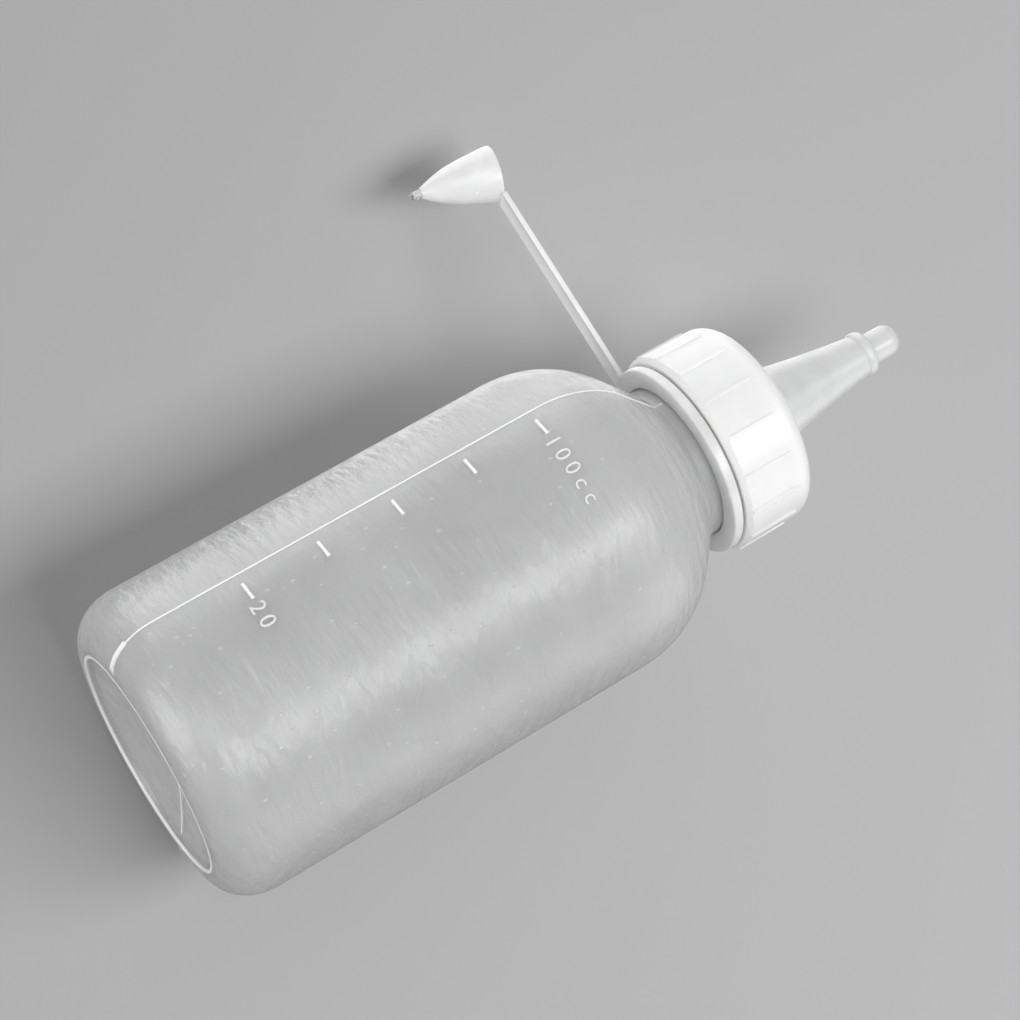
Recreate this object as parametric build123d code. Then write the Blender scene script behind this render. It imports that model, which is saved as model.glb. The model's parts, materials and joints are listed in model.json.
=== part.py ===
from build123d import *
import math
import os

# Glue applicator bottle, 100 cc: a blow-moulded squeeze bottle with a screw collar, a conical
# nozzle, and a tip cap that hangs on a strap from a tether ring round the neck.
# Millimetres. +Z runs up the bottle to the nozzle, the origin is the centre of the base where
# the bottle stands, and the strap leaves the neck towards -X.

# --- driving dimensions: bottle ---
body_r = 23.9
wall = 1.1
heel_width = 5.75        # how far the heel's quarter ellipse reaches in from the wall
heel_height = 7.5
ring_in_r = 17.1         # the bottle stands on a flat ring between these radii
ring_out_r = 18.4
recess_height = 3.8      # the base is domed inwards this far
recess_step = (0.5, 1.0)  # the recess starts with a steep wall, this far in and up
shoulder_z = 70.0        # where the straight wall ends
shoulder_arc_r = 18.6
shoulder_angle = 48.0    # the arc turns this far, then a cone runs to the neck
collar_r = 12.2          # plain part of the neck, under the tether ring
collar_top_z = 92.3
finish_r = 11.0          # threaded part of the neck
neck_bore_r = 9.6
neck_top_z = 101.4

# --- thread ---
pitch = 3.2
thread_turns = 1.5
thread_z = 94.2
thread_height = 1.1
thread_base = 1.3
thread_crest = 0.6
thread_root = 0.25       # how deep a ridge is sunk in its wall
spare = 1.0              # cutting tools run past the faces that they open by this much

# --- graduations, moulded on the body ---
grad_angle = -111.5      # degrees round the bottle from +X
grad_zs = [20.5, 32.5, 44.5, 56.5, 68.5]
grad_span = 7.0
grad_width = 0.45
grad_proud = 0.2

# --- screw cap ---
cap_r = 16.2
cap_top_r = 16.05
cap_foot_r = 15.7
cap_foot_z = 92.5
cap_top_z = 105.2
cap_chamfer_z = 93.4
cap_panel = 2.2
trough_depth = 1.0       # thickness left over the space between the two skirts
cap_edge_r = 2.6
skirt_wall = 0.9
inner_skirt_r = 12.4     # root of the cap's own thread
inner_skirt_wall = 1.1
inner_skirt_z = 93.0
rib_count = 16
rib_first = 17.0         # degrees
rib_width = 0.5
rib_depth = 0.8          # radially, mostly sunk in the skirt
rib_proud = 0.2
rib_top_z = 101.6

# --- nozzle ---
hub_r = 7.0
hub_gap = 0.1
flange_r = 11.9
flange_top_z = cap_top_z - cap_panel - 0.1
plug_r = neck_bore_r - 0.1
plug_wall = 1.2
plug_z = 96.0
cone_mid = (4.92, 115.25)
cone_end = (3.38, 125.3)
bead_r = 3.67
bead_z = 126.1
spout_r = 2.53
spout_z = 127.5
spout_top_z = 130.5
nozzle_top_z = spout_top_z + spout_r
nozzle_wall = 1.0
passage_r = 1.3
passage_top_z = 130.6

# --- tether ring, strap and tip cap ---
tether_r = 15.4
tether_bore_r = collar_r + 0.1
tether_z = 90.6
tether_top_z = 92.25
tether_edge = 0.35
spigot_in_r = 13.8
spigot_out_r = 14.5
spigot_top_z = 94.6
strap_width = 3.7
strap_thick = 0.85
strap_lean = 2.3         # degrees above level
hinge_gap = 0.1
hinge_rho = 16.3         # first bend, measured out from the bottle's axis
link_lengths = [4.3, 10.0, 9.5, 7.5]
link_names = ["strap_root", "strap_lower", "strap_middle", "strap_upper"]
rim_rho = 54.0
rim_z = 93.5
tip_tilt = 12.8          # degrees: the closed end leans away from the bottle
tip_rim_r = 4.54
tip_length = 12.4
tip_end_r = 0.75
tip_wall = 0.55
tip_bulge = (3.45, 6.0)  # outer radius at this depth below the rim
tip_wall_spread = 0.1    # the wall is this much thicker at half depth
tip_tab_sunk = 0.9       # how far the strap's end runs into the tip cap's wall
cavity_depth = 9.8
stub_r = 0.62
stub_length = 1.3
stub_sunk = 0.1


def ring_of(points):
    """Turns a closed (r, z) outline of straight runs about Z."""
    outline = Polyline(*points, close=True)
    return revolve(make_face(Plane.XZ * outline), Axis.Z)


def on_xz(*curves):
    """Closed face in the XZ plane from curves drawn as (r, z)."""
    return make_face(Plane.XZ * Curve(list(curves)))


def cone_to(start, radius):
    """Where the shoulder's cone, from start, comes in to this radius."""
    angle = math.radians(shoulder_angle)
    run = (start.X - radius) / math.sin(angle)
    return (radius, start.Y + run * math.cos(angle))


def heel_arc(inset):
    """The heel's quarter ellipse, moved inwards by inset."""
    centre = (body_r - heel_width, heel_height)
    return EllipticalCenterArc(centre, heel_width - inset, heel_height - inset, 270)


def dome_arc(edge, top):
    """Arc from edge up to the axis, level where it meets it."""
    rise = top - edge[1]
    radius = (edge[0] ** 2 + rise**2) / (2 * rise)
    centre_z = top - radius
    start = math.degrees(math.atan2(edge[1] - centre_z, edge[0]))
    return CenterArc((0, centre_z), radius, start, 90 - start)


def shoulder_arc(inset):
    centre = (body_r - shoulder_arc_r, shoulder_z)
    return CenterArc(centre, shoulder_arc_r - inset, 0, shoulder_angle)


def thread_ridge(radius, outwards, middle_z):
    """A trapezoid ridge that climbs round a wall; outwards is 1 on a neck and -1 in a cap."""
    path = Pos(0, 0, middle_z) * Helix(pitch, pitch * thread_turns, radius)
    start = path @ 0
    along = path % 0
    out = Vector(start.X, start.Y, 0).normalized() * outwards
    section_plane = Plane(origin=start, x_dir=out, z_dir=along)
    section = Polyline(
        (-thread_root, -thread_base / 2),
        (thread_height, -thread_crest / 2),
        (thread_height, thread_crest / 2),
        (-thread_root, thread_base / 2),
        close=True,
    )
    return sweep(section_plane * make_face(section), path=path, is_frenet=True)


def bottle_body():
    heel_out = heel_arc(0)
    arc_out = shoulder_arc(0)
    cone_out = cone_to(arc_out @ 1, collar_r)
    foot = (ring_in_r, 0)
    dome_edge = (ring_in_r - recess_step[0], recess_step[1])
    dome_top = (0, recess_height)
    dome = dome_arc(dome_edge, recess_height)
    outline = Polyline(
        (0, neck_top_z),
        (finish_r, neck_top_z),
        (finish_r, collar_top_z),
        (collar_r, collar_top_z),
        cone_out,
        arc_out @ 1,
    )
    standing = Polyline(dome_edge, foot, (ring_out_r, 0), heel_out @ 0)
    side = Line(heel_out @ 1, arc_out @ 0)
    centre_line = Line((0, neck_top_z), dome_top)
    outer = revolve(on_xz(outline, arc_out, side, heel_out, standing, dome, centre_line), Axis.Z)

    heel_in = heel_arc(wall)
    arc_in = shoulder_arc(wall)
    cone_in = cone_to(arc_in @ 1, neck_bore_r)
    over_top = neck_top_z + spare
    throat = Polyline(
        (0, over_top),
        (neck_bore_r, over_top),
        cone_in,
        arc_in @ 1,
    )
    side_in = Line(heel_in @ 1, arc_in @ 0)
    floor_edge = heel_in @ 0
    floor_top = (0, recess_height + wall)
    floor_rim = (dome_edge[0], dome_edge[1] + wall)
    floor = dome_arc(floor_rim, floor_top[1])
    floor_step = Line(floor_rim, floor_edge)
    centre_in = Line((0, over_top), floor_top)
    inner = revolve(on_xz(throat, arc_in, side_in, heel_in, floor_step, floor, centre_in), Axis.Z)

    body = outer - inner
    body += thread_ridge(finish_r, 1, thread_z)
    for grad_z in grad_zs:
        body += graduation(grad_z)
    return body


def graduation(grad_z):
    """One short tick that stands proud of the body wall."""
    tick = Cylinder(body_r + grad_proud, grad_width) - Cylinder(body_r - wall / 2, grad_width)
    length = body_r * math.radians(grad_span)
    window = Pos(body_r, 0, 0) * Box(3 * wall, length, 2 * grad_width)
    return Pos(0, 0, grad_z) * Rot(0, 0, grad_angle) * (tick & window)


def screw_cap():
    panel_z = cap_top_z - cap_panel
    skirt_in = cap_foot_r - skirt_wall
    outer = ring_of([
        (0, cap_foot_z),
        (cap_foot_r, cap_foot_z),
        (cap_r, cap_chamfer_z),
        (cap_top_r, cap_top_z),
        (0, cap_top_z),
    ])
    rim = outer.edges().filter_by(GeomType.CIRCLE).group_by(Axis.Z)[-1]
    outer = fillet(rim, cap_edge_r)
    outer += cap_ribs()
    inner_out = inner_skirt_r + inner_skirt_wall
    core = ring_of([
        (0, cap_foot_z - spare),
        (inner_skirt_r, cap_foot_z - spare),
        (inner_skirt_r, panel_z),
        (0, panel_z),
    ])
    trough = ring_of([
        (inner_skirt_r - thread_root, cap_foot_z - spare),
        (skirt_in, cap_foot_z - spare),
        (skirt_in, panel_z - trough_depth),
        (inner_out, panel_z - trough_depth),
        (inner_out, inner_skirt_z),
        (inner_skirt_r - thread_root, inner_skirt_z),
    ])
    hole = Pos(0, 0, panel_z) * Cylinder(hub_r + hub_gap, 3 * cap_panel)
    cap = outer - core - trough - hole
    cap += thread_ridge(inner_skirt_r, -1, thread_z + pitch / 2)
    return cap


def cap_ribs():
    """Thin grip ribs round the skirt, from its chamfer to just under the rounded edge."""
    length = rib_top_z - cap_chamfer_z
    ribs = []
    for i in range(rib_count):
        bar = Pos(cap_top_r, 0, cap_chamfer_z + length / 2) * Box(rib_depth, rib_width, length)
        ribs.append(Rot(0, 0, rib_first + i * 360 / rib_count) * bar)
    band = Pos(0, 0, cap_chamfer_z + length / 2) * Cylinder(cap_r + rib_proud, length)
    return Part() + [rib & band for rib in ribs]


def nozzle():
    cone = ThreePointArc((hub_r, cap_top_z), cone_mid, cone_end)
    bead_out = ThreePointArc(cone_end, (bead_r, bead_z), (spout_r, spout_z))
    dome = CenterArc((0, spout_top_z), spout_r, 0, 90)
    foot = Polyline(
        (0, plug_z),
        (plug_r, plug_z),
        (plug_r, neck_top_z),
        (flange_r, neck_top_z),
        (flange_r, flange_top_z),
        (hub_r, flange_top_z),
        (hub_r, cap_top_z),
    )
    spout = Line((spout_r, spout_z), (spout_r, spout_top_z))
    centre_line = Line((0, nozzle_top_z), (0, plug_z))
    outer = revolve(on_xz(foot, cone, bead_out, spout, dome, centre_line), Axis.Z)

    plug_in = plug_r - plug_wall
    cone_in = ThreePointArc(
        (hub_r - nozzle_wall, cap_top_z),
        (cone_mid[0] - nozzle_wall, cone_mid[1]),
        (cone_end[0] - nozzle_wall, cone_end[1]),
    )
    lower = Polyline(
        (0, plug_z - spare),
        (plug_in, plug_z - spare),
        (plug_in, neck_top_z),
        (hub_r - nozzle_wall, flange_top_z),
        (hub_r - nozzle_wall, cap_top_z),
    )
    upper = Polyline(
        cone_in @ 1,
        (passage_r, spout_z),
        (passage_r, passage_top_z),
        (0, passage_top_z),
    )
    centre_in = Line((0, passage_top_z), (0, plug_z - spare))
    inner = revolve(on_xz(lower, cone_in, upper, centre_in), Axis.Z)
    return outer - inner


def strap_point(distance):
    """(rho, z) on the strap's middle line, this far beyond the first bend."""
    lean = math.radians(strap_lean)
    start_z = tether_z + strap_thick / 2
    return (hinge_rho + distance * math.cos(lean), start_z + distance * math.sin(lean))


def strap_frame(distance):
    """Location on the strap: local X runs out along it, and local Z is across its thickness."""
    rho, z = strap_point(distance)
    return Pos(-rho, 0, z) * Rot(0, strap_lean, 0) * Rot(0, 0, 180)


def hinge_socket(distance):
    """The hollow that leaves room for the next link's round end."""
    roller = Rot(90, 0, 0) * Cylinder(strap_thick / 2 + hinge_gap, 2 * strap_width)
    return strap_frame(distance) * roller


def strap_link(start, length, socket=True):
    bar = Pos(length / 2, 0, 0) * Box(length, strap_width, strap_thick)
    nose = Rot(90, 0, 0) * Cylinder(strap_thick / 2, strap_width)
    link = strap_frame(start) * (bar + nose)
    if socket:
        link -= hinge_socket(start + length)
    return link


def tether_ring():
    edge = tether_edge
    body = ring_of([
        (tether_bore_r, tether_z),
        (tether_r - edge, tether_z),
        (tether_r, tether_z + edge),
        (tether_r, tether_top_z - edge),
        (tether_r - edge, tether_top_z),
        (spigot_out_r, tether_top_z),
        (spigot_out_r, spigot_top_z),
        (spigot_in_r, spigot_top_z),
        (spigot_in_r, tether_top_z),
        (tether_bore_r, tether_top_z),
    ])
    reach = hinge_rho - tether_r + spare
    lug = Pos(-hinge_rho + reach / 2, 0, tether_z + strap_thick / 2)
    lug *= Box(reach, strap_width, strap_thick)
    return body + (lug - hinge_socket(0))


def tip_cap():
    """A pointed thimble, mouth up in its own frame, then tilted and hung at the strap's end."""
    bulge = (tip_bulge[0], -tip_bulge[1])
    side = ThreePointArc((tip_rim_r, 0), bulge, (tip_end_r, -tip_length))
    inside = [
        Line((0, 0), (tip_rim_r, 0)),
        side,
        Line((tip_end_r, -tip_length), (0, -tip_length)),
        Line((0, -tip_length), (0, 0)),
    ]
    shell = revolve(on_xz(*inside), Axis.Z)
    stub = Cylinder(stub_r, stub_length + 2 * stub_sunk)
    stub = Pos(0, 0, stub_sunk - tip_length - stub_length / 2) * stub
    mouth_r = tip_rim_r - tip_wall
    belly = (tip_bulge[0] - tip_wall - tip_wall_spread, -tip_bulge[1])
    hollow_side = ThreePointArc((mouth_r, 0), belly, (passage_r, -cavity_depth))
    hollow = revolve(
        on_xz(
            Polyline((0, spare), (mouth_r, spare), (mouth_r, 0)),
            hollow_side,
            Polyline((passage_r, -cavity_depth), (0, -cavity_depth), (0, spare)),
        ),
        Axis.Z,
    )
    place = Pos(-rim_rho, 0, rim_z) * Rot(0, tip_tilt, 0)
    strap_end = sum(link_lengths)
    tab_length = rim_rho - strap_point(strap_end)[0] - tip_rim_r + tip_tab_sunk
    tab = strap_link(strap_end, tab_length, socket=False)
    return place * (shell + stub) + tab - place * hollow


def strap_links():
    links = {}
    start = 0.0
    for name, length in zip(link_names, link_lengths):
        links[name] = strap_link(start, length)
        start += length
    return links


def main():
    nodes = {
        "bottle_body": bottle_body(),
        "screw_cap": screw_cap(),
        "nozzle": nozzle(),
        "tether_ring": tether_ring(),
        "tip_cap": tip_cap(),
    }
    nodes.update(strap_links())
    os.makedirs("parts", exist_ok=True)
    for name, shape in nodes.items():
        export_step(shape, f"parts/{name}.step")
    for distance in [0.0] + [sum(link_lengths[: i + 1]) for i in range(len(link_lengths))]:
        rho, z = strap_point(distance)
        print(f"strap bend at x {-rho:.3f}, z {z:.3f}")


main()
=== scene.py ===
import bpy
import json
import math
from mathutils import Matrix, Vector

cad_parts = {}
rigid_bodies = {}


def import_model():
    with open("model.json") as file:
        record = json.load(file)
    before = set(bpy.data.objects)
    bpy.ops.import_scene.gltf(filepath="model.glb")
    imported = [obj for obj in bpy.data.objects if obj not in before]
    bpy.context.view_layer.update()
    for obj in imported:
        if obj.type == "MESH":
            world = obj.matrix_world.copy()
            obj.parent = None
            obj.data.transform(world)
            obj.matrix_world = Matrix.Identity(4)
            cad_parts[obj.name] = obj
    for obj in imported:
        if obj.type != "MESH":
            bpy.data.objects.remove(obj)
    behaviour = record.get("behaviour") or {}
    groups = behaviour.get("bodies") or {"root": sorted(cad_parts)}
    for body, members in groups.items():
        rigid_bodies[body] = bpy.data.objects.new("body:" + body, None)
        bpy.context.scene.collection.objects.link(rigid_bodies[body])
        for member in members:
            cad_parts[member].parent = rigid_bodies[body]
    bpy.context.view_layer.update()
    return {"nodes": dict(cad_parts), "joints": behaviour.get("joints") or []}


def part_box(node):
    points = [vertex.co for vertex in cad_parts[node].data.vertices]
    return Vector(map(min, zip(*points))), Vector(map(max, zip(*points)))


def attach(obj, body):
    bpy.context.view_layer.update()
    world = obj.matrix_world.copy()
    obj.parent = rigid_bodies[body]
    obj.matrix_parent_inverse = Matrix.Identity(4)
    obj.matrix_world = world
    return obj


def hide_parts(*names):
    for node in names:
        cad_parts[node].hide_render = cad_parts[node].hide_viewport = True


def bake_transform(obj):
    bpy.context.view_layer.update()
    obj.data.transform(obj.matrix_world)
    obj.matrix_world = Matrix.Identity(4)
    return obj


# Squeeze bottle for glue: milky blown body, white screw cap, pointed nozzle,
# and a tip cap hanging on a strap from the ring round the neck. Lengths are metres.
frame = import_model()
mm = 0.001
facing = 0.9                 # a face whose normal agrees this well counts as facing that way
hinges = {j["name"]: Vector(j["pos_m"]) for j in frame["joints"] if "pos_m" in j}


def objectMode():
    if bpy.context.object and bpy.context.object.mode != "OBJECT":
        bpy.ops.object.mode_set(mode="OBJECT")


def deselectAll():
    objectMode()
    for other in bpy.context.view_layer.objects:
        other.select_set(False)


def pick(piece):
    deselectAll()
    piece.select_set(True)
    bpy.context.view_layer.objects.active = piece


def editAll(piece):
    pick(piece)
    bpy.ops.object.mode_set(mode="EDIT")
    bpy.context.tool_settings.mesh_select_mode = (True, False, False)
    bpy.ops.mesh.select_all(action="SELECT")


def editFaces(piece, wanted):
    # edit mode with only the faces for which wanted(centre, normal) is true
    editAll(piece)
    bpy.context.tool_settings.mesh_select_mode = (False, False, True)
    bpy.ops.mesh.select_all(action="DESELECT")
    objectMode()
    for face in piece.data.polygons:
        face.select = wanted(face.center, face.normal)
    bpy.ops.object.mode_set(mode="EDIT")


def editVerts(piece, wanted):
    editAll(piece)
    bpy.ops.mesh.select_all(action="DESELECT")
    objectMode()
    for vert in piece.data.vertices:
        vert.select = wanted(vert.co)
    bpy.ops.object.mode_set(mode="EDIT")


def copyOf(piece, name):
    pick(piece)
    bpy.ops.object.duplicate()
    twin = bpy.context.object
    twin.parent = None
    twin.name = name
    return twin


def addModifier(piece, kind, **settings):
    modifier = piece.modifiers.new(kind.title(), kind)
    for key, value in settings.items():
        setattr(modifier, key, value)
    pick(piece)
    bpy.ops.object.modifier_apply(modifier=modifier.name)


def settle(piece, angle=35):
    # the place goes into the mesh, and edges sharper than angle stay crisp
    pick(piece)
    bpy.ops.object.transform_apply(location=True, rotation=True, scale=True)
    bpy.ops.object.shade_smooth_by_angle(angle=math.radians(angle))


def roundEdges(piece, width, segments, corner):
    # rounds the edges that turn by more than corner degrees
    addModifier(
        piece, "BEVEL", width=width, segments=segments, limit_method="ANGLE",
        angle_limit=math.radians(corner))


def cleanUp(piece, gap=0.002 * mm):
    editAll(piece)
    bpy.ops.mesh.remove_doubles(threshold=gap)
    bpy.ops.mesh.normals_make_consistent(inside=False)
    objectMode()


def cutAway(piece, place, normal, fill=False):
    # removes what lies on the side that normal points to
    editAll(piece)
    bpy.ops.mesh.bisect(
        plane_co=place, plane_no=normal, use_fill=fill, clear_outer=True, threshold=0.0005 * mm)
    objectMode()


def turned(name, outline, steps):
    # an outline of (radius, height) drawn edge by edge, then spun round the bottle's axis
    bpy.ops.mesh.primitive_plane_add(size=mm, location=(outline[0][0], 0, outline[0][1]))
    piece = bpy.context.object
    piece.name = name
    bpy.ops.object.transform_apply(location=True)
    editAll(piece)
    bpy.ops.mesh.merge(type="CENTER")
    for before, after in zip(outline, outline[1:]):
        step = (after[0] - before[0], 0, after[1] - before[1])
        bpy.ops.mesh.extrude_vertices_move(TRANSFORM_OT_translate={"value": step})
    bpy.ops.mesh.select_all(action="SELECT")
    bpy.ops.mesh.spin(steps=steps, angle=2 * math.pi, center=(0, 0, 0), axis=(0, 0, 1))
    objectMode()
    cleanUp(piece)
    return piece


def around(bearing, radius, height):
    angle = math.radians(bearing)
    return Vector((radius * math.cos(angle), radius * math.sin(angle), height))


polythene = {
    "ior": 1.51,
    "scatter": (1, 0.97, 0.93),   # how far red, green and blue light spread in it
    "cloudStops": (0.32, 0.68),
    "cloudDetail": 4,
    "wearStops": (0.35, 0.7),
    "wearDetail": 6,
    "rippleDetail": 3,
    "grainDetail": 2,
    "speck": (0.97, 0.97, 0.97, 1),
    "speckFade": 1.6,             # a speck's colour fades out at this many times its size
}


def plastic(name, look):
    # moulded polythene: cloudy colour, flow ripples, fine grain, pale specks and scuffs
    material = bpy.data.materials.new(name)
    material.use_nodes = True
    nodes = material.node_tree.nodes
    links = material.node_tree.links
    shader = nodes["Principled BSDF"]
    shader.inputs["IOR"].default_value = polythene["ior"]
    shader.inputs["Transmission Weight"].default_value = look["clear"]
    shader.inputs["Subsurface Weight"].default_value = look["milk"]
    shader.inputs["Subsurface Radius"].default_value = polythene["scatter"]
    shader.inputs["Subsurface Scale"].default_value = look["milkDepth"]
    shader.inputs["Coat Weight"].default_value = look["gloss"]
    shader.inputs["Coat Roughness"].default_value = look["glossRough"]
    place = nodes.new("ShaderNodeTexCoord")

    def stretched(scale):
        mapping = nodes.new("ShaderNodeMapping")
        mapping.inputs["Scale"].default_value = scale
        links.new(place.outputs["Object"], mapping.inputs["Vector"])
        return mapping.outputs["Vector"]

    def noise(scale, detail):
        texture = nodes.new("ShaderNodeTexNoise")
        texture.inputs["Scale"].default_value = 1
        texture.inputs["Detail"].default_value = detail
        links.new(stretched(scale), texture.inputs["Vector"])
        return texture.outputs["Fac"]

    def ramp(source, stops):
        colours = nodes.new("ShaderNodeValToRGB")
        for element, (position, colour) in zip(colours.color_ramp.elements, stops):
            element.position = position
            element.color = (*colour, 1)
        links.new(source, colours.inputs["Fac"])
        return colours.outputs["Color"]

    def bump(height, depth, after=None):
        node = nodes.new("ShaderNodeBump")
        node.inputs["Distance"].default_value = depth
        links.new(height, node.inputs["Height"])
        if after:
            links.new(after, node.inputs["Normal"])
        return node.outputs["Normal"]

    clouds = noise((look["cloud"],) * 3, polythene["cloudDetail"])
    tint = ramp(clouds, zip(polythene["cloudStops"], (look["deep"], look["pale"])))
    if "thickFrom" in look:
        # the colour whitens towards the neck: partly because the wall is thicker there, partly as
        # painted light that lifts the shade under the ring
        heights = nodes.new("ShaderNodeSeparateXYZ")
        links.new(place.outputs["Object"], heights.inputs["Vector"])
        thickness = nodes.new("ShaderNodeMapRange")
        thickness.inputs["From Min"].default_value = look["thickFrom"]
        thickness.inputs["From Max"].default_value = look["thickTo"]
        links.new(heights.outputs["Z"], thickness.inputs["Value"])
        whitened = nodes.new("ShaderNodeMix")
        whitened.data_type = "RGBA"
        whitened.inputs["B"].default_value = (*look["thick"], 1)
        links.new(thickness.outputs["Result"], whitened.inputs["Factor"])
        links.new(tint, whitened.inputs["A"])
        tint = whitened.outputs["Result"]
    pits = nodes.new("ShaderNodeTexVoronoi")
    pits.inputs["Scale"].default_value = look["pitScale"]
    links.new(stretched((1, 1, look["pitLength"])), pits.inputs["Vector"])
    dotEdge = look["pitSize"] * polythene["speckFade"]
    dots = ramp(pits.outputs["Distance"], [(look["pitSize"], (1, 1, 1)), (dotEdge, (0, 0, 0))])
    speckled = nodes.new("ShaderNodeMix")
    speckled.data_type = "RGBA"
    speckled.inputs["B"].default_value = polythene["speck"]
    links.new(dots, speckled.inputs["Factor"])
    links.new(tint, speckled.inputs["A"])
    links.new(speckled.outputs["Result"], shader.inputs["Base Color"])

    wear = noise(look["scuffStretch"], polythene["wearDetail"])
    low = (look["roughLow"],) * 3
    high = (look["roughHigh"],) * 3
    rough = ramp(wear, zip(polythene["wearStops"], (low, high)))
    links.new(rough, shader.inputs["Roughness"])
    ripples = noise(look["rippleStretch"], polythene["rippleDetail"])
    grain = noise((look["grain"],) * 3, polythene["grainDetail"])
    # the skin shows the ripples in full, the milky body under it blurs them
    for socket, share in (("Normal", look["bodyShare"]), ("Coat Normal", 1)):
        rippled = bump(ripples, look["rippleDepth"] * share)
        grained = bump(grain, look["grainDepth"], rippled)
        links.new(bump(dots, look["pitDepth"], grained), shader.inputs[socket])
    return material


def shared(**changes):
    # what the plastics have in common; scales are per metre
    look = {
        "pale": (0.88, 0.885, 0.88), "deep": (0.80, 0.805, 0.80), "cloud": 90,
        "clear": 0.0, "milk": 0.35, "milkDepth": 1.5 * mm,
        "roughLow": 0.3, "roughHigh": 0.42, "scuffStretch": (160, 160, 600),
        "gloss": 0.2, "glossRough": 0.2,
        "rippleStretch": (150, 150, 240), "rippleDepth": 0.02 * mm, "bodyShare": 1.0,
        "grain": 2600, "grainDepth": 0.006 * mm,
        "pitScale": 420, "pitLength": 0.6, "pitSize": 0.05, "pitDepth": 0.01 * mm,
    }
    look.update(changes)
    return look


# whiter from 64 to 84 mm up: thicker wall, and painted light that lifts the shade under the ring
bottlePlastic = plastic("bottlePlastic", shared(
    pale=(0.8, 0.805, 0.8), deep=(0.72, 0.725, 0.72), cloud=110,
    thick=(0.98, 0.98, 0.975), thickFrom=64 * mm, thickTo=84 * mm, clear=0.5, milk=0.7,
    milkDepth=3 * mm, roughHigh=0.4, gloss=0.42, glossRough=0.12, scuffStretch=(90, 90, 420),
    rippleStretch=(200, 200, 720), rippleDepth=1.1 * mm, bodyShare=0.12,
    pitScale=520, pitSize=0.085, pitDepth=0.05 * mm))
# raised plastic is thicker, so it scatters more light and looks whiter; the white also paints the
# highlight that the ridges' edges catch
ridgeWhiteAndHighlight = plastic("ridgeWhiteAndHighlight", shared(
    pale=(0.98, 0.98, 0.975), deep=(0.95, 0.95, 0.945), milk=0.0, gloss=0.5, glossRough=0.15))
# the letters and pinch-off are whiter for two causes: thicker plastic, and a painted highlight on
# their edges
markWhiteAndHighlight = plastic("markWhiteAndHighlight", shared(
    pale=(0.97, 0.97, 0.965), deep=(0.92, 0.92, 0.915), clear=0.12, milk=0.2, gloss=0.5,
    glossRough=0.15))
capPlastic = plastic("capPlastic", shared(
    pale=(0.93, 0.93, 0.925), deep=(0.88, 0.88, 0.875), milk=0.6, milkDepth=2 * mm,
    glossRough=0.25))
nozzlePlastic = plastic("nozzlePlastic", shared(
    pale=(0.95, 0.955, 0.95), deep=(0.86, 0.865, 0.86), cloud=260, clear=0.25, milk=0.6,
    milkDepth=2 * mm, gloss=0.4, glossRough=0.16, rippleStretch=(300, 300, 90)))
tetherPlastic = plastic("tetherPlastic", shared(
    pale=(0.84, 0.845, 0.84), deep=(0.75, 0.755, 0.75), cloud=220, milk=0.5, gloss=0.4,
    glossRough=0.16))
# no light is scattered inside the strap, because its five pieces would show as bands
strapPlastic = plastic("strapPlastic", shared(
    pale=(0.9, 0.905, 0.9), deep=(0.82, 0.825, 0.82), cloud=220, milk=0.0, gloss=0.4,
    glossRough=0.16))
print("plastics mixed")


def coat(piece, material):
    if not piece.material_slots:
        piece.data.materials.append(material)
    for place in piece.material_slots:
        place.material = material


for node, material in {
    "bottle_body": bottlePlastic, "screw_cap": capPlastic, "nozzle": nozzlePlastic,
}.items():
    coat(frame["nodes"][node], material)
print("frame coated")


ridgeSunk = 0.3              # share of a ridge's thickness that is in the wall
footGap = 0.01 * mm          # corners this close to the lowest one are at the foot
partingLine = {
    "bearing": 60,           # degrees from +X; it also runs down the far side
    "width": 0.22 * mm,
    "proud": 0.13 * mm,
    "top": 90.2 * mm,        # ends under the ring
    "from": 18.0 * mm,       # starts outside the standing ring
}
pinchOff = {
    "width": 0.5 * mm,
    "proud": 0.28 * mm,
    "top": 6 * mm,
    "to": 16.2 * mm,         # stops short of the standing ring
}
heelFlash = {
    "width": 0.62 * mm,
    "proud": 0.42 * mm,
    "top": 3.2 * mm,
    "from": 18.0 * mm,
    "oneSide": True,         # only where the scale is
}
# a thin white ring laid on the edge of the standing ring: a painted highlight line round the foot
standingRim = {
    "radii": (16.92 * mm, 17.5 * mm),
    "heights": (-0.04 * mm, 0.5 * mm),
    "edge": 0.1 * mm,
    "corner": 60,
    "steps": 160,
}


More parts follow.
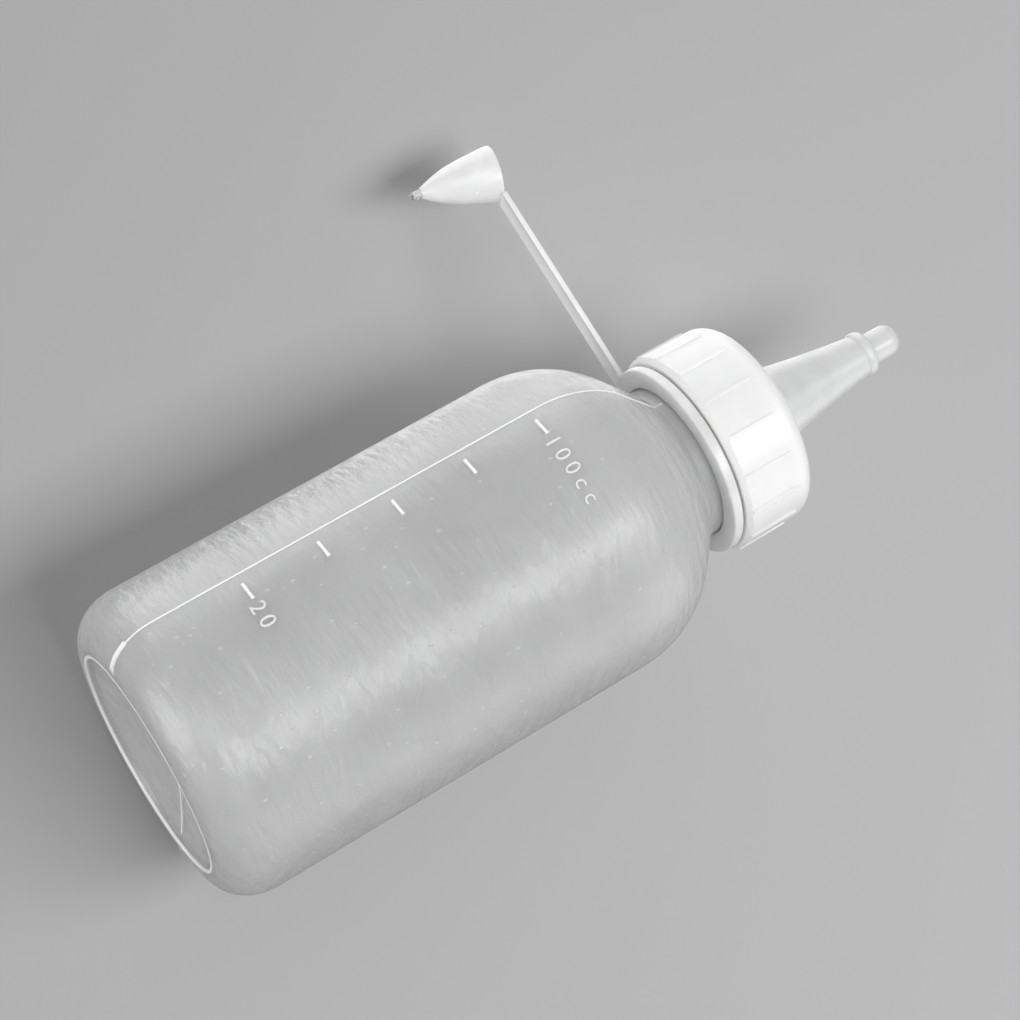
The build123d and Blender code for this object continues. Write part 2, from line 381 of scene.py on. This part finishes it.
def mouldRidge(name, shape, across, material):
    # a thin slice of the bottle's outside, thickened
    ridge = copyOf(frame["nodes"]["bottle_body"], name)
    cleanUp(ridge)
    half = shape["width"] / 2
    cutAway(ridge, across * half, across)
    cutAway(ridge, -across * half, -across)
    cutAway(ridge, (0, 0, shape["top"]), (0, 0, 1))
    lowest = min(vert.co.z for vert in ridge.data.vertices)
    editVerts(ridge, lambda co: co.z < lowest + footGap)
    bpy.ops.mesh.select_linked()
    bpy.ops.mesh.select_all(action="INVERT")
    bpy.ops.mesh.delete(type="VERT")
    objectMode()
    along = Vector((across.y, -across.x, 0))
    if "to" in shape:
        cutAway(ridge, along * shape["to"], along)
        cutAway(ridge, -along * shape["to"], -along)
    if "from" in shape:
        heelTop = pinchOff["top"]
        editVerts(ridge, lambda co: abs(co.dot(along)) < shape["from"] and co.z < heelTop)
        bpy.ops.mesh.delete(type="VERT")
        objectMode()
    if shape.get("oneSide"):
        cutAway(ridge, (0, 0, 0), along)
    addModifier(
        ridge, "SOLIDIFY", thickness=shape["proud"], offset=1 - 2 * ridgeSunk)
    cutAway(ridge, (0, 0, 0), (0, 0, -1), fill=True)  # the bottle stands level
    settle(ridge)
    coat(ridge, material)
    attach(ridge, "bottle")


across = around(partingLine["bearing"] + 90, 1, 0)
# the parting line and heel flash are white partly from thicker plastic, partly as a painted
# highlight along them
mouldRidge("parting_line", partingLine, across, ridgeWhiteAndHighlight)
mouldRidge("pinch_off", pinchOff, across, markWhiteAndHighlight)
mouldRidge("heel_flash", heelFlash, across, ridgeWhiteAndHighlight)

inner, outer = standingRim["radii"]
low, high = standingRim["heights"]
rim = turned("standing_rim", [
    (inner, low), (outer, low), (outer, high), (inner, high), (inner, low),
], standingRim["steps"])
roundEdges(rim, standingRim["edge"], 2, standingRim["corner"])
settle(rim)
coat(rim, ridgeWhiteAndHighlight)
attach(rim, "bottle")
print("parting line raised")


capacityMarks = {
    "letterSize": 3.35 * mm,
    "pitch": 5.9,            # degrees from one letter to the next
    "firstBearing": -104.0,
    "proud": 0.2 * mm,
    "sunk": 0.15 * mm,
    "roundness": 0.07 * mm,
    "curveSteps": 6,
    "roundSteps": 2,
    "rows": {"100cc": 67.2 * mm, "20": 19.2 * mm},  # foot of each row of letters
}


def raisedLetter(name, letter, bearing, height, wallRadius):
    roundness = capacityMarks["roundness"]
    depth = capacityMarks["proud"] + capacityMarks["sunk"]
    deselectAll()
    bpy.ops.object.text_add()
    text = bpy.context.object
    text.name = name
    text.data.body = letter
    text.data.size = capacityMarks["letterSize"]
    text.data.align_x = "CENTER"
    text.data.resolution_u = capacityMarks["curveSteps"]
    text.data.offset = -roundness
    text.data.extrude = depth / 2 - roundness
    text.data.bevel_depth = roundness
    text.data.bevel_resolution = capacityMarks["roundSteps"]
    bpy.ops.object.convert(target="MESH")
    middle = wallRadius + (capacityMarks["proud"] - capacityMarks["sunk"]) / 2
    text.matrix_world = (
        Matrix.Translation(around(bearing, middle, height))
        @ Matrix.Rotation(math.radians(bearing + 90), 4, "Z")
        @ Matrix.Rotation(math.radians(90), 4, "X"))
    settle(text)
    cleanUp(text)
    return text


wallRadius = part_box("bottle_body")[1].x
for row, height in capacityMarks["rows"].items():
    letters = []
    for count, letter in enumerate(row):
        bearing = capacityMarks["firstBearing"] + count * capacityMarks["pitch"]
        letters.append(raisedLetter(f"mark_{row}", letter, bearing, height, wallRadius))
    deselectAll()
    for letter in letters:
        letter.select_set(True)
    bpy.context.view_layer.objects.active = letters[0]
    bpy.ops.object.join()
    marks = bpy.context.object
    marks.name = f"mark_{row}"
    settle(marks)
    coat(marks, markWhiteAndHighlight)
    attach(marks, "bottle")

scaleTicks = {
    "bearing": -111.5,
    "heights": [20.5 * mm, 32.5 * mm, 44.5 * mm, 56.5 * mm, 68.5 * mm],
    "length": 3.0 * mm,
    "width": 0.5 * mm,
    "depth": 0.6 * mm,       # radially, mostly sunk in the wall
    "proud": 0.24 * mm,
    "edge": 0.12 * mm,
}
for count, height in enumerate(scaleTicks["heights"]):
    middle = wallRadius + scaleTicks["proud"] - scaleTicks["depth"] / 2
    deselectAll()
    bpy.ops.mesh.primitive_cube_add(
        size=1, location=around(scaleTicks["bearing"], middle, height),
        rotation=(0, 0, math.radians(scaleTicks["bearing"])))
    tick = bpy.context.object
    tick.name = f"scale_tick_{count + 1}"
    tick.scale = (scaleTicks["depth"], scaleTicks["length"], scaleTicks["width"])
    bpy.ops.object.transform_apply(location=True, rotation=True, scale=True)
    outwards = around(scaleTicks["bearing"], 1, 0)
    editFaces(tick, lambda centre, normal: normal.dot(outwards) > facing)
    bpy.ops.mesh.bevel(offset=scaleTicks["edge"], segments=3, affect="EDGES")
    objectMode()
    settle(tick)
    # the ticks' white is partly thicker plastic, partly a painted highlight on their edges
    coat(tick, ridgeWhiteAndHighlight)
    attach(tick, "bottle")
print("capacity marks raised")


tetherRing = {
    "bore": 12.3 * mm,
    "bodyTop": 92.25 * mm,
    "spigotIn": 13.8 * mm,
    "spigotOut": 14.5 * mm,
    "edge": 0.28 * mm,       # how far the corners are rounded
    "corner": 60,
    "steps": 120,
}
ringLow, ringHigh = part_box("tether_ring")
ringRadius = ringHigh.y
ring = turned("tether_ring_moulding", [
    (tetherRing["bore"], ringLow.z),
    (ringRadius, ringLow.z),
    (ringRadius, tetherRing["bodyTop"]),
    (tetherRing["spigotOut"], tetherRing["bodyTop"]),
    (tetherRing["spigotOut"], ringHigh.z),
    (tetherRing["spigotIn"], ringHigh.z),
    (tetherRing["spigotIn"], tetherRing["bodyTop"]),
    (tetherRing["bore"], tetherRing["bodyTop"]),
    (tetherRing["bore"], ringLow.z),
], tetherRing["steps"])
roundEdges(ring, tetherRing["edge"], 3, tetherRing["corner"])
settle(ring)
coat(ring, tetherPlastic)
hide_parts("tether_ring")
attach(ring, "tether")
print("ring turned")


tipCap = {
    "rimRadius": 4.54 * mm,
    "length": 12.45 * mm,
    "hollow": 10.0 * mm,
    # depth under the rim and radius, in mm
    "outside": [
        (0.0, 4.42), (0.18, 4.54), (1.6, 4.34), (3.4, 3.93), (5.1, 3.62), (6.66, 3.22),
        (8.0, 2.85), (9.2, 2.38), (10.3, 1.88), (11.2, 1.4), (12.0, 0.98), (12.4, 0.78),
    ],
    "inside": [
        (0.2, 3.9), (1.6, 3.74), (3.4, 3.34), (5.1, 3.02), (7.0, 2.5), (8.6, 1.75), (9.6, 1.1),
    ],
    "steps": 72,
    "crisp": 40,             # degrees; sharper edges stay crisp
    "stubSides": 20,
    "stubRadius": 0.62 * mm,
    "stubLength": 1.5 * mm,
    "stubSunk": 0.25 * mm,
    "stubInset": 0.2 * mm,
    "tear": 0.16 * mm,       # how ragged the torn end is
    "tearSeed": 7,
    "tearFrom": 0.6,         # share of the stub, from its end, that is torn
    "curlFrom": 0.5,         # share that is curled over
    "curl": 0.45,            # radians
    "tilt": 12.8,            # degrees, as it hangs on the strap
    "rimMiddle": (-54 * mm, 0, 93.5 * mm),
}
tipRim = Vector(tipCap["rimMiddle"])
outline = [(0.0, -tipCap["length"])]
outline += [(radius * mm, -depth * mm) for depth, radius in reversed(tipCap["outside"])]
outline += [(radius * mm, -depth * mm) for depth, radius in tipCap["inside"]]
outline += [(0.0, -tipCap["hollow"])]
tip = turned("tip_cap_shell", outline, tipCap["steps"])
addModifier(tip, "SUBSURF", levels=1, render_levels=1)

bpy.ops.mesh.primitive_cylinder_add(
    vertices=tipCap["stubSides"], radius=tipCap["stubRadius"], depth=tipCap["stubLength"],
    location=(0, 0, tipCap["stubSunk"] - tipCap["length"] - tipCap["stubLength"] / 2))
stub = bpy.context.object
bpy.ops.object.transform_apply(location=True)
editFaces(stub, lambda centre, normal: abs(normal.z) > facing)
bpy.ops.mesh.inset(thickness=tipCap["stubInset"])
bpy.ops.mesh.inset(thickness=tipCap["stubInset"])
bpy.ops.mesh.select_all(action="SELECT")
bpy.ops.mesh.subdivide(number_cuts=2)
stubEnd = min(vert.co.z for vert in stub.data.vertices)
tearTop = stubEnd + tipCap["tearFrom"] * tipCap["stubLength"]
curlTop = stubEnd + tipCap["curlFrom"] * tipCap["stubLength"]
editVerts(stub, lambda co: co.z < tearTop)
bpy.ops.transform.vertex_random(offset=tipCap["tear"], uniform=1, normal=0, seed=tipCap["tearSeed"])
editVerts(stub, lambda co: co.z < curlTop)
bpy.ops.transform.rotate(
    value=tipCap["curl"], orient_axis="Y", center_override=(0, 0, tearTop))
objectMode()
deselectAll()
stub.select_set(True)
tip.select_set(True)
bpy.context.view_layer.objects.active = tip
bpy.ops.object.join()
tilt = Matrix.Rotation(math.radians(tipCap["tilt"]), 4, "Y")
tip.matrix_world = Matrix.Translation(tipRim) @ tilt
settle(tip, tipCap["crisp"])
coat(tip, tetherPlastic)
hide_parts("tip_cap")
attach(tip, "tip_cap")
print("tip cap turned")


strap = {
    "width": 3.7 * mm,
    "thickness": 0.88 * mm,
    "sectionLength": 0.9 * mm,
    "rail": 0.5 * mm,        # raised edge left on the side that faces the base
    "groove": 0.16 * mm,
    "edge": 0.12 * mm,
    "corner": 40,
    "ringOverlap": 0.5 * mm,
    "tipOverlap": 0.45 * mm,
}
bends = [hinges[name] for name in (
    "strap_fold", "strap_curl_lower", "strap_curl_middle", "strap_curl_upper", "tip_tilt")]
along = (bends[-1] - bends[0]).normalized()
strapStart = bends[0] - along * (abs(bends[0].x) - ringRadius + strap["ringOverlap"])
rimNear = tipRim.x + tipCap["rimRadius"] - strap["tipOverlap"]
strapEnd = bends[0] + along * ((rimNear - bends[0].x) / along.x)
strapLength = (strapEnd - strapStart).length
sections = round(strapLength / strap["sectionLength"])
stepLength = strapLength / sections

bpy.ops.mesh.primitive_cube_add(size=1, location=(stepLength / 2, 0, 0))
strip = bpy.context.object
strip.name = "strap_strip"
strip.scale = (stepLength, strap["width"], strap["thickness"])
bpy.ops.object.transform_apply(location=True, rotation=True, scale=True)
for _ in range(sections - 1):
    editFaces(strip, lambda centre, normal: normal.x > facing)
    bpy.ops.mesh.extrude_region_move(TRANSFORM_OT_translate={"value": (stepLength, 0, 0)})
    objectMode()
editFaces(strip, lambda centre, normal: normal.z < -facing)
bpy.ops.mesh.inset(thickness=strap["rail"], use_boundary=True)
bpy.ops.transform.translate(value=(0, 0, strap["groove"]))
objectMode()
roundEdges(strip, strap["edge"], 2, strap["corner"])
heading = along.to_track_quat("X", "Z").to_matrix().to_4x4()
strip.matrix_world = Matrix.Translation(strapStart) @ heading
settle(strip)
cleanUp(strip)

middles = [(a + b) / 2 for a, b in zip(bends, bends[1:])]
cuts = [strapStart] + middles + [strapEnd]
pieceNames = ["strap_at_ring", "strap_first", "strap_second", "strap_third", "strap_at_tip"]
stoodFor = ["strap_root", "strap_lower", "strap_middle", "strap_upper"]
for count, pieceName in enumerate(pieceNames):
    stretch = copyOf(strip, pieceName)
    if count > 0:
        cutAway(stretch, cuts[count], -along, fill=True)
    if count < len(pieceNames) - 1:
        cutAway(stretch, cuts[count + 1], along, fill=True)
    settle(stretch)
    coat(stretch, strapPlastic)
    if count < len(stoodFor):
        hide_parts(stoodFor[count])
    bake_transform(stretch)
bpy.data.objects.remove(strip)
print("strap laid")


cameraSpot = {
    "place": (0.083139, -0.357837, -0.051458),
    "right": (0.543082, -0.134366, 0.828859),
    "up": (-0.807368, -0.354757, 0.471491),
    "lens": 92.54,
    "sensor": 36,
    "nearest": 0.01,
}
bpy.ops.object.camera_add()
camera = bpy.context.object
camera.name = "camera"
camera.data.lens = cameraSpot["lens"]
camera.data.sensor_width = cameraSpot["sensor"]
camera.data.clip_start = cameraSpot["nearest"]
right = Vector(cameraSpot["right"]).normalized()
back = right.cross(Vector(cameraSpot["up"])).normalized()
up = back.cross(right)
aim = Matrix((right, up, back)).transposed().to_4x4()
camera.matrix_world = Matrix.Translation(cameraSpot["place"]) @ aim
bpy.context.scene.camera = camera

stage = {
    "tone": (0.62, 0.62, 0.62),
    "roughness": 0.9,
    "shine": 0.1,
    "size": 12.0,
    "restBearing": 104,      # the bottle lies on this side of its wall
}


def stagePaper():
    # pale matt paper that is seen from its front only
    material = bpy.data.materials.new("stagePaper")
    material.use_nodes = True
    nodes = material.node_tree.nodes
    links = material.node_tree.links
    shader = nodes["Principled BSDF"]
    shader.inputs["Base Color"].default_value = (*stage["tone"], 1)
    shader.inputs["Roughness"].default_value = stage["roughness"]
    shader.inputs["Specular IOR Level"].default_value = stage["shine"]
    nothing = nodes.new("ShaderNodeBsdfTransparent")
    either = nodes.new("ShaderNodeMixShader")
    side = nodes.new("ShaderNodeNewGeometry")
    links.new(side.outputs["Backfacing"], either.inputs["Fac"])
    links.new(shader.outputs["BSDF"], either.inputs[1])
    links.new(nothing.outputs["BSDF"], either.inputs[2])
    links.new(either.outputs["Shader"], nodes["Material Output"].inputs["Surface"])
    return material


def stageSheet(name, place, normal, throughSeen):
    deselectAll()
    bpy.ops.mesh.primitive_plane_add(size=stage["size"])
    sheet = bpy.context.object
    sheet.name = name
    facingWay = normal.to_track_quat("Z", "Y").to_matrix().to_4x4()
    sheet.matrix_world = Matrix.Translation(place) @ facingWay
    settle(sheet)
    sheet.data.materials.append(paper)
    sheet.visible_diffuse = False
    sheet.visible_glossy = False
    sheet.visible_shadow = False
    sheet.visible_transmission = throughSeen
    return sheet


paper = stagePaper()
floor = stageSheet("floor", Vector((0, 0, 0)), Vector((0, 0, 1)), False)
restSide = around(stage["restBearing"], wallRadius, 0)
backdrop = stageSheet("backdrop", restSide, -restSide.normalized(), True)


def litGroup(name, sheets, state):
    # what a light falls on, so that it leaves no hot spot on the paper
    group = bpy.data.collections.new(name)
    for sheet in sheets:
        group.objects.link(sheet)
    for item in group.collection_objects:
        item.light_linking.link_state = state
    return group


allButFloor = litGroup("allButFloor", [floor], "EXCLUDE")
allButStage = litGroup("allButStage", [floor, backdrop], "EXCLUDE")
floorOnly = litGroup("floorOnly", [floor], "INCLUDE")


lamps = {
    "aimHeight": 0.05,
    # bearing and elevation in degrees, distance, width, height, power, what it lights
    "boxes": {
        "keyBox": (-52, 18, 0.75, 0.26, 0.75, 3.0, allButFloor),
        "sideBox": (14, 20, 0.8, 0.55, 0.8, 1.5, allButFloor),
        "strapBox": (185, 15, 0.8, 0.7, 0.8, 3.5, allButStage),
        "footBox": (-100, -62, 0.8, 0.5, 0.5, 3.0, allButStage),
        "backBox": (140, 32, 0.9, 0.6, 0.6, 1.5, allButStage),
        "frontBox": (-77, -10, 0.9, 0.5, 0.35, 1.1, allButStage),
    },
    "floorTurn": (-20, 15, 0),    # degrees
    "floorPower": 1.9,
    "floorSpread": 50,            # degrees
    "room": (0.8, 0.8, 0.8, 1),
    "roomPower": 0.42,
}


def softBox(name, bearing, elevation, distance, width, height, power, lit):
    middle = Vector((0, 0, lamps["aimHeight"]))
    level = distance * math.cos(math.radians(elevation))
    place = middle + around(bearing, level, distance * math.sin(math.radians(elevation)))
    bpy.ops.object.light_add(type="AREA", location=place)
    light = bpy.context.object
    light.name = name
    light.data.shape = "RECTANGLE"
    light.data.size = width
    light.data.size_y = height
    light.data.energy = power
    light.rotation_euler = (middle - place).to_track_quat("-Z", "Y").to_euler()
    light.light_linking.receiver_collection = lit


for name, settings in lamps["boxes"].items():
    softBox(name, *settings)
turn = [math.radians(angle) for angle in lamps["floorTurn"]]
bpy.ops.object.light_add(type="SUN", rotation=turn)
floorLight = bpy.context.object
floorLight.name = "floorLight"
floorLight.data.energy = lamps["floorPower"]
floorLight.data.angle = math.radians(lamps["floorSpread"])
floorLight.light_linking.receiver_collection = floorOnly
world = bpy.data.worlds.new("studio")
world.use_nodes = True
room = world.node_tree.nodes["Background"]
room.inputs["Color"].default_value = lamps["room"]
room.inputs["Strength"].default_value = lamps["roomPower"]
bpy.context.scene.world = world
bpy.context.scene.view_settings.view_transform = "Standard"
print("stage lit")

deselectAll()
